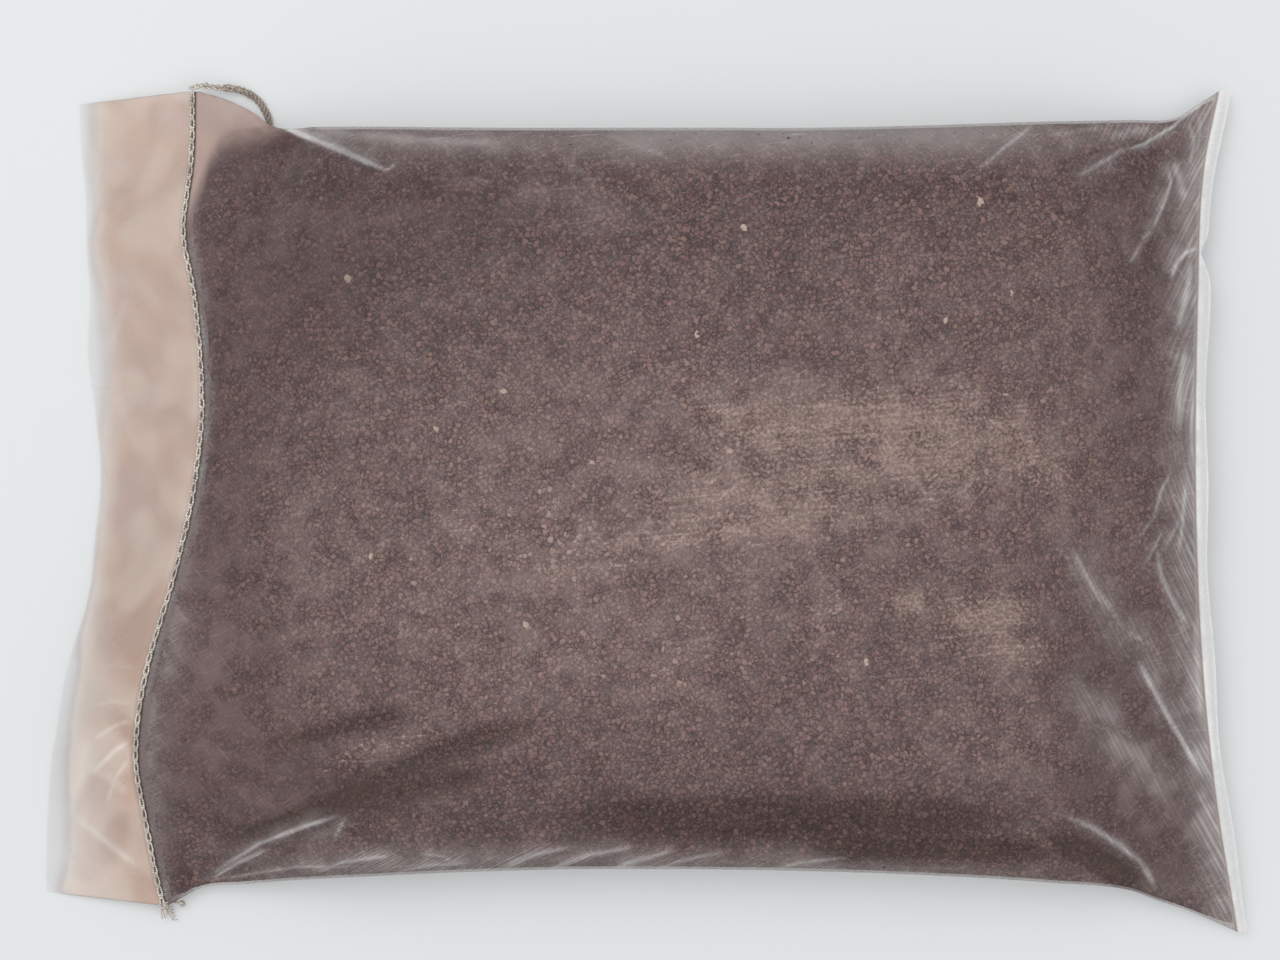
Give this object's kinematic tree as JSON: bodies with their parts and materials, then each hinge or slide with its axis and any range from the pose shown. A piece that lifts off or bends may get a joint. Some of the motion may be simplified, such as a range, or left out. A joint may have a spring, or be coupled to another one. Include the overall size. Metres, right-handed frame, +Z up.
{
  "type": "bag of aquarium substrate",
  "caption": "Clear plastic film bag packed with dark red-brown aquarium gravel, heat sealed across one end and sewn shut across the other, with an empty film flap past the stitches.",
  "frame": {"origin": "on the table, under the middle of the bag without its loose thread tail", "axes": "+X from the sewn mouth to the heat seal, +Y across the bag to the side that the thread tail leaves, +Z up from the table"},
  "size_m": [0.7328, 0.515, 0.0903],
  "materials": {
    "film": "clear polyethylene film, hazy and dusty",
    "gravel": "dull dark red-brown gravel",
    "thread": "undyed spun sewing thread"
  },
  "bodies": {
    "root": {"film_bag": "film", "gravel_fill": "gravel", "closing_thread": "thread", "thread_tail": "thread"}
  },
  "joints": []
}
